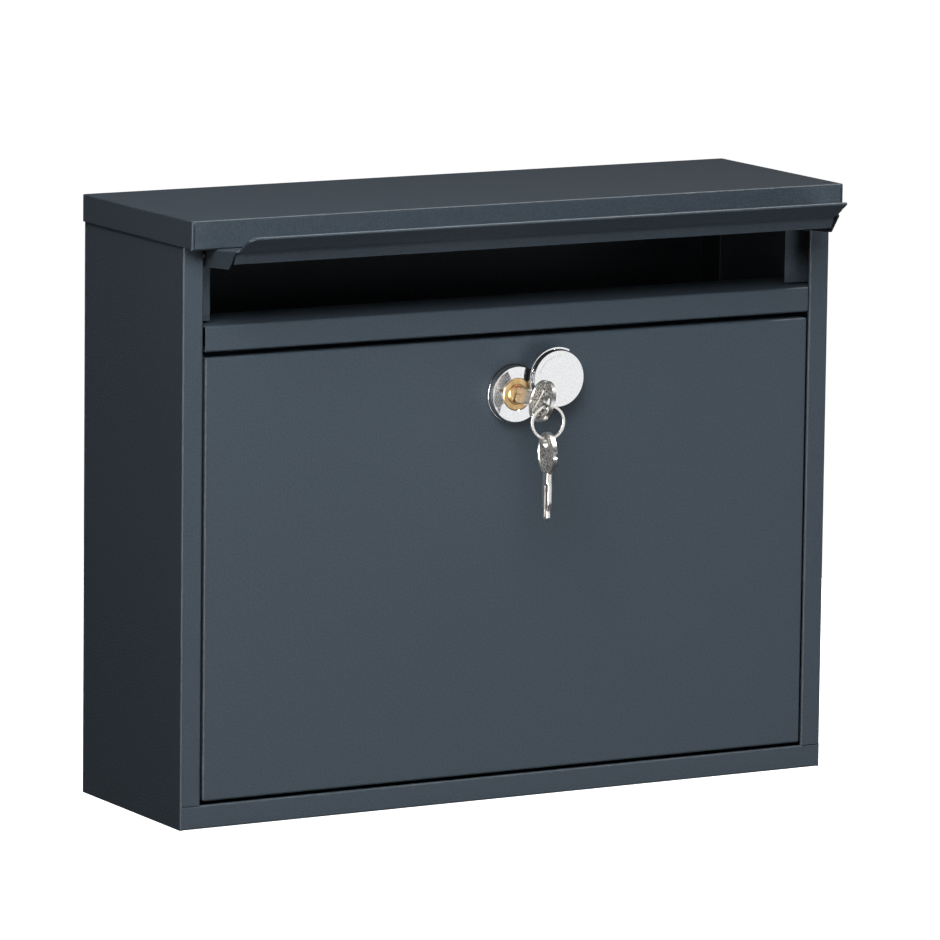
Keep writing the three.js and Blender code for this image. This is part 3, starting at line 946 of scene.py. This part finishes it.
def dust_cap():
    """Chrome disc with a crescent thumb rim at its back edge and a fine crescent line in its face."""
    back = NOSE - 0.4
    front = back - 4.4
    rim, thumb_rim = 14.6, 15.5
    profile = [
        (back, 0), (back, 14.3), (back - 0.2, rim), (back - 2.5, rim), (back - 2.7, 14.5),
        (back - 2.9, 14.4), (front + 0.5, 14.4), (front + 0.2, 14.25), (front + 0.03, 13.95),
        (front, 13.5), (front, 11.75), (front, 11.25), (front, 6), (front, 0),
    ]
    piece = lathe("dust_cap", profile, "Y", CAP_CENTRE, steps=120)
    edit(piece)

    def on_rim(face):
        radius, angle = bearing(face.calc_center_median(), CAP_CENTRE)
        return radius > 14.5 and abs(face.normal.y) < 0.3 and 62 < angle < 200

    pick(piece, "FACE", on_rim)
    pull((0, 0, 0))
    bpy.ops.transform.resize(value=(thumb_rim / rim, 1, thumb_rim / rim), center_override=CAP_CENTRE)

    def on_line(face):
        radius, angle = bearing(face.calc_center_median(), CAP_CENTRE)
        return face.normal.y < -FACING and 11.25 < radius < 11.75 and 85 < angle < 161

    pick(piece, "FACE", on_line)
    pull((0, 0.12, 0))
    bore_end = FRONT + back - 2.9
    cut(piece, rod("bore", (PIVOT.x, FRONT, PIVOT.z), (PIVOT.x, bore_end, PIVOT.z), RIVET_HOLE, 32))
    break_edges(piece, 0.18, segments=3, angle=60)
    return finish(piece, CHROME, "cap", "polished_chrome", "lock_cap", smooth=25)


def cap_rivet():
    """Rivet that the dust cap swings about, its ends chamfered."""
    start, end = pivot_low.y - FRONT, pivot_high.y - FRONT
    radius, chamfer = 1.6, 0.25
    profile = [
        (start, 0), (start, radius - chamfer), (start + chamfer, radius), (end - chamfer, radius),
        (end, radius - chamfer), (end, 0),
    ]
    piece = lathe("cap_rivet", profile, "Y", Vector((PIVOT.x, FRONT, PIVOT.z)), steps=32)
    return finish(piece, ZINC, "door", "zinc_plated_steel", "cap_pivot")


MARK = (-2.1, 3.4)  # the timing mark's place from the plug's axis, across and up


def plug():
    """Brass plug with its keyway, a timing mark and a square tail for the cam."""
    radius, rear = 4.9, 14.4
    profile = [
        (NOSE, 0), (NOSE, 3.95), (NOSE + 0.12, 4.05), (NOSE + 0.12, 4.25), (NOSE, 4.35),
        (NOSE, radius - 0.3), (NOSE + 0.3, radius), (rear, radius), (rear, 0),
    ]
    piece = lathe("plug_body", profile, "Y", LOCK_AXIS, steps=96)
    weld(piece, block("tail", at_lock(-3, rear - 1, -3), at_lock(3, 17.2, 3)))
    keyway = block("keyway", at_lock(-1.35, NOSE - 1, -4.2), at_lock(1.35, rear - 0.1, 4.2))
    thread = rod("thread", at_lock(0, 15, 0), at_lock(0, 18, 0), 1.9, 32)
    across, up = MARK
    mark = rod("mark", at_lock(across, NOSE - 1, up), at_lock(across, NOSE + 0.2, up), 0.6, 24)
    cut(piece, keyway, thread, mark)
    break_edges(piece, 0.12, angle=60)
    turn_mesh(piece, TURNED, "Y", LOCK_AXIS)
    return finish(piece, BRASS, "plug", "lock_brass", "lock_plug", smooth=25)


def timing_mark():
    """A drop of lacquer, slightly crowned, in the plug's mark."""
    across, up = MARK
    profile = [
        (NOSE + 0.2, 0), (NOSE + 0.2, 0.59), (NOSE + 0.02, 0.59), (NOSE - 0.06, 0.35), (NOSE - 0.09, 0),
    ]
    piece = lathe("timing_mark", profile, "Y", at_lock(across, 0, up), steps=24)
    turn_mesh(piece, TURNED, "Y", LOCK_AXIS)
    return finish(piece, RED, "plug", "lock_brass", smooth=60)


def cam():
    """Flat cam: round at the plug, tapered at its tip, with a square hole for the tail."""
    front, back, half = 14.8, 16.8, 6
    piece = block("cam_arm", at_lock(-38, front, -half), at_lock(half, back, half))
    edit(piece)
    pick(piece, "EDGE", lambda e: run(e, "y") > 1 and middle(e).x > 0)
    bpy.ops.mesh.bevel(offset=half - 0.02, segments=14, affect="EDGES")
    pick(piece, "EDGE", lambda e: run(e, "y") > 1 and middle(e).x < -30)
    bpy.ops.mesh.bevel(offset=3.2, segments=6, affect="EDGES")
    cut(piece, block("square", at_lock(-3.2, 13, -3.2), at_lock(3.2, 18, 3.2)))
    break_edges(piece, 0.22, angle=50)
    turn_mesh(piece, TURNED, "Y", LOCK_AXIS)
    return finish(piece, ZINC, "plug", "zinc_plated_steel", "lock_cam")


def cam_washer():
    """Split spring washer under the screw's head."""
    profile = [(17.4, 2.1), (18.4, 2.1), (18.4, 5.8), (18.2, 6.0), (17.6, 6.0), (17.4, 5.8), (17.4, 2.1)]
    piece = lathe("cam_spring_washer", profile, "Y", LOCK_AXIS, steps=48)
    cut(piece, block("split", at_lock(-0.35, 17, 2), at_lock(0.35, 19, 7)))
    break_edges(piece, 0.1)
    turn_mesh(piece, TURNED, "Y", LOCK_AXIS)
    return finish(piece, ZINC, "plug", "zinc_plated_steel", "cam_washer")


def cam_screw():
    """Cheese-head screw with a domed, slotted head."""
    profile = [
        (15.3, 0), (15.3, 1.5), (15.6, 1.8), (18.6, 1.8), (18.6, 3.4), (18.8, 3.6), (19.9, 3.6),
        (20.4, 3.4), (20.7, 2.6), (20.8, 1.4), (20.8, 0),
    ]
    piece = lathe("cam_screw_body", profile, "Y", LOCK_AXIS, steps=48)
    cut(piece, block("slot", at_lock(-4, 19.8, -0.5), at_lock(4, 22, 0.5)))
    break_edges(piece, 0.12, angle=55)
    turn_mesh(piece, TURNED, "Y", LOCK_AXIS)
    return finish(piece, ZINC, "plug", "zinc_plated_steel", "cam_screw")


# ---- Keys and ring ----------------------------------------------------------------------------------

BOW_Y = -14.7  # middle of the bow from the key's shoulder
BOW_RADIUS = 10.5
HOLE_Y = BOW_Y - 5.8
HALF_KEY = 1.1  # half the thickness of the bow and the blade
KEY_DRAWN = 9.8  # shoulder to the plug's face
HUNG = 8  # degrees that the hanging key stands turned to the left


def key_blank():
    """Key pointing along +Y from its shoulder at the origin, flat in X: a round bow with a bright rim
    round two sunk, grained faces, a collar, and a grooved blade with its cuts."""
    bow = rod("key", (-HALF_KEY, BOW_Y, 0), (HALF_KEY, BOW_Y, 0), BOW_RADIUS, 96)
    edit(bow)
    for side in (-1, 1):
        pick(bow, "FACE", lambda f: f.normal.x * side > FACING and len(f.verts) > 10)
        bpy.ops.mesh.inset(thickness=1.0)
        bpy.ops.mesh.inset(thickness=0.25)
        bpy.ops.transform.translate(value=(-0.28 * side, 0, 0))
    take(bow)
    bow.data.materials.append(NICKEL)
    bow.data.materials.append(STAMPED)
    for face in bow.data.polygons:
        if abs(face.normal.x) > FACING and len(face.vertices) > 10:
            face.material_index = 1
    boss = rod("boss", (-HALF_KEY, HOLE_Y, 0), (HALF_KEY, HOLE_Y, 0), 4.1, 48)
    edit(boss)
    pick(boss, "EDGE", lambda e: is_bend(e, 1))
    bpy.ops.mesh.bevel(offset=0.2, segments=2, affect="EDGES")
    collar = block("collar", (-1.5, -5.4, -3.25), (1.5, 0, 3.25))
    edit(collar)
    pick(collar, "EDGE", lambda e: run(e, "y") > 1)
    bpy.ops.mesh.bevel(offset=0.9, segments=4, affect="EDGES")
    weld(bow, boss, collar, key_blade())
    hole = rod("hole", (-3, HOLE_Y, 0), (3, HOLE_Y, 0), 3.12, 48)
    nick = rod("nick", (-3, BOW_Y, BOW_RADIUS + 0.2), (3, BOW_Y, BOW_RADIUS + 0.2), 1.5, 32)
    cut(bow, hole, nick)
    for x in (-HALF_KEY, HALF_KEY):
        groove = block("groove", (x - 0.5, BOW_Y + 1.2, -5.5), (x + 0.5, BOW_Y + 2.4, 5.5))
        turn_mesh(groove, 24, "X", (0, BOW_Y + 1.8, 0))
        cut(bow, groove)
    break_edges(bow, 0.12, angle=55)
    return bow


def key_blade():
    """Blade with a groove along each side, its cuts, and a pointed tip."""
    # Distance from the shoulder, lower edge and upper edge.
    stations = [
        (-0.5, -4.0, 4.0), (4.2, -4.0, 4.0), (8.0, -4.0, 4.0), (9.6, -3.1, 4.0), (11.4, -3.4, 3.4),
        (13.0, -2.5, 2.6), (14.8, -2.6, 2.5), (17.0, -2.6, 2.6), (19.0, -0.4, 0.4),
    ]
    start, low, high = stations[0]
    blade = draw_line("blade", [(-HALF_KEY, start, low), (-HALF_KEY, start, high)])
    bpy.ops.mesh.select_all(action="SELECT")
    for end, next_low, next_high in stations[1:]:
        span = (next_high - next_low) / (high - low)
        pull((0, end - start, 0))
        bpy.ops.transform.resize(value=(1, 1, span), center_override=(0, 0, 0))
        bpy.ops.transform.translate(value=(0, 0, next_low - low * span))
        start, low, high = end, next_low, next_high
    modify(blade, "SOLIDIFY", thickness=2 * HALF_KEY, offset=1.0)
    clean(blade)
    off_centre = sum(v.co.x for v in blade.data.vertices) / len(blade.data.vertices)
    bpy.ops.mesh.select_all(action="SELECT")
    bpy.ops.transform.translate(value=(-off_centre, 0, 0))
    pick(blade, "EDGE", lambda e: is_bend(e) and run(e, "y") > NEAR)
    bpy.ops.mesh.bevel(offset=0.8, offset_type="WIDTH", segments=4, affect="EDGES")
    for x in (-HALF_KEY, HALF_KEY):
        cut(blade, block("groove", (x - 0.45, 1.2, -0.65), (x + 0.45, 16.6, 0.65)))
    return blade


def door_key(blank):
    """The key that stands part way out of the plug."""
    key = copy_of(blank, "door_key_body")
    move_mesh(key, at_lock(0, NOSE - KEY_DRAWN, 0))
    turn_mesh(key, TURNED, "Y", LOCK_AXIS)
    return finish(key, NICKEL, "key", "nickel_key", "door_key", smooth=28)


def split_ring():
    """Two coils of flat spring wire."""
    low, high = box_mm("key_ring")
    centre = (low + high) / 2
    radius, pitch = 8.25, 0.56
    half, wire, ease = 0.65, 0.54, 0.1  # half the wire's width, its thickness, its rounded edge
    corners = [
        (-half, ease), (-half, wire - ease), (ease - half, wire), (half - ease, wire), (half, wire - ease),
        (half, ease), (half - ease, 0), (ease - half, 0), (-half, ease),
    ]
    piece = draw_line("split_ring_coil", [(radius + out, along, 0) for out, along in corners])
    clean(piece)
    modify(
        piece, "SCREW", axis="Y", angle=math.tau, screw_offset=pitch, iterations=2, steps=96,
        render_steps=96, use_merge_vertices=False,
    )
    edit(piece)
    for is_start in (True, False):
        pick(piece, "EDGE", lambda e: is_rim(e) and (middle(e).y < pitch) == is_start)
        bpy.ops.mesh.edge_face_add()
    clean(piece)
    bpy.ops.mesh.select_all(action="SELECT")
    bpy.ops.transform.translate(value=centre - Vector((0, (2 * pitch + wire) / 2, 0)))
    turn_mesh(piece, 118, "Y", centre)
    turn_mesh(piece, -10, "Z", centre)
    return finish(piece, RING_STEEL, "ring", "steel_ring", "key_ring", smooth=40)


def spare_key(blank):
    """The key that hangs from the ring by its bow."""
    low, high = box_mm("spare_key")
    key = copy_of(blank, "spare_key_body")
    turn_mesh(key, -90, "X", (0, 0, 0))
    turn_mesh(key, 180 - HUNG, "Z", (0, 0, 0))
    hung = math.radians(HUNG)
    reach = BOW_RADIUS * math.cos(hung) + HALF_KEY * math.sin(hung)
    blade = 19
    move_mesh(key, ((low.x + high.x) / 2, low.y + reach, low.z + blade))
    return finish(key, NICKEL, "spare", "nickel_key", "spare_key", smooth=28)


# ---- Build ------------------------------------------------------------------------------------------

roof()
left_wall = side_wall()
right_wall = mirrored(left_wall, "right_side_sheet")
finish(left_wall, COAT, "case", "powder_coat", "left_side_panel")
finish(right_wall, COAT, "case", "powder_coat", "right_side_panel")
back_sheet()
bottom_sheet()
cross_rail()
for make, node in ((flap_bracket, "flap_bracket"), (door_bracket, "door_bracket")):
    left_one = make()
    right_one = mirrored(left_one, f"{node}_right_sheet")
    finish(left_one, COAT, "case", "powder_coat", f"{node}_left")
    finish(right_one, COAT, "case", "powder_coat", f"{node}_right")

letter_flap()
for part in ("flap", "door"):
    left_one = hinge_pin(f"{part}_hinge_pin_left", *box_mm(f"{part}_pin_left"))
    right_one = mirrored(left_one, f"{part}_hinge_pin_right")
    finish(left_one, ZINC, part, "zinc_plated_steel", f"{part}_pin_left")
    finish(right_one, ZINC, part, "zinc_plated_steel", f"{part}_pin_right")

door()
rosette()
barrel()
hexagon_nut()
dust_cap()
cap_rivet()
plug()
timing_mark()
cam()
cam_washer()
cam_screw()

blank = key_blank()
door_key(blank)
spare_key(blank)
bpy.data.objects.remove(blank)
split_ring()


# ---- Studio -----------------------------------------------------------------------------------------


def studio_floor():
    """A white disc far wider than the view. It takes no part in the light on the mailbox."""
    take(None)
    bpy.ops.mesh.primitive_circle_add(vertices=64, radius=40, fill_type="NGON", location=(0, 0, -0.5))
    floor = name_and_settle("studio_floor")
    floor.data.materials.append(pale_floor())
    floor.visible_diffuse = False
    floor.visible_glossy = False
    floor.visible_shadow = False


def lamp(name, place, size, radiance, diffuse=True, glossy=True):
    """Rectangular softbox that points at the mailbox. It isn't itself seen."""
    take(None)
    bpy.ops.object.light_add(type="AREA", location=place)
    box = bpy.context.object
    box.name = name
    box.data.shape = "RECTANGLE"
    box.data.size, box.data.size_y = size
    box.data.energy = radiance * math.pi * size[0] * size[1]
    box.rotation_euler = (-Vector(place)).to_track_quat("-Z", "Y").to_euler()
    box.visible_camera = False
    box.visible_diffuse = diffuse
    box.visible_glossy = glossy


def studio():
    """High and low softboxes light the coat; white cards and narrow strips are what the metal mirrors."""
    studio_floor()
    lamp("high_softbox", (-0.5, -0.85, 0.85), (0.9, 0.7), 9.5, glossy=False)
    lamp("low_softbox", (0.95, -1.9, -0.95), (1.6, 0.9), 4.2, glossy=False)
    lamp("overhead_softbox", (0, 0.3, 2.2), (2.0, 1.0), 0.25, glossy=False)
    lamp("rear_softbox", (1.9, 1.6, 0.1), (2.0, 1.5), 3.0, glossy=False)
    lamp("front_card", (0.85, -2.2, -0.35), (1.9, 1.3), 1.05, diffuse=False)
    lamp("left_strip", (-2.1, -1.05, 0.1), (0.2, 1.8), 100, diffuse=False)
    lamp("top_strip", (1.1, -0.36, 1.97), (1.8, 0.2), 90, diffuse=False)
    world = bpy.data.worlds.new("studio_air")
    bpy.context.scene.world = world
    world.use_nodes = True
    tree = world.node_tree
    tree.nodes.clear()
    seen = add(tree, "ShaderNodeLightPath").outputs["Is Camera Ray"]
    dim = add(tree, "ShaderNodeBackground", {"Color": linear("#ffffff"), "Strength": 0.035})
    pale = add(tree, "ShaderNodeBackground", {"Color": linear("#ffffff"), "Strength": 1.0})
    mixed = add(tree, "ShaderNodeMixShader", {0: seen, 1: dim, 2: pale})
    add(tree, "ShaderNodeOutputWorld", {"Surface": mixed})
    bpy.context.scene.view_settings.view_transform = "Standard"


def camera():
    """Stands 3.8 m away, left of the front and slightly above, with a long lens."""
    take(None)
    bpy.ops.object.camera_add()
    eye = bpy.context.object
    eye.name = "camera"
    yaw, pitch, roll = (math.radians(a) for a in (29.54, -9.16, 0.70))
    ahead = Vector((math.sin(yaw) * math.cos(pitch), math.cos(yaw) * math.cos(pitch), math.sin(pitch)))
    level = Vector((math.cos(yaw), -math.sin(yaw), 0))
    upright = level.cross(ahead)
    right = level * math.cos(roll) + upright * math.sin(roll)
    up = right.cross(ahead)
    place = Vector((-1.8519, -3.3324, 0.6150))
    eye.matrix_world = Matrix.Translation(place) @ Matrix((right, up, -ahead)).transposed().to_4x4()
    eye.data.sensor_width = 36
    eye.data.lens = 291.9
    eye.data.clip_end = 200
    bpy.context.scene.camera = eye


studio()
camera()
take(None)
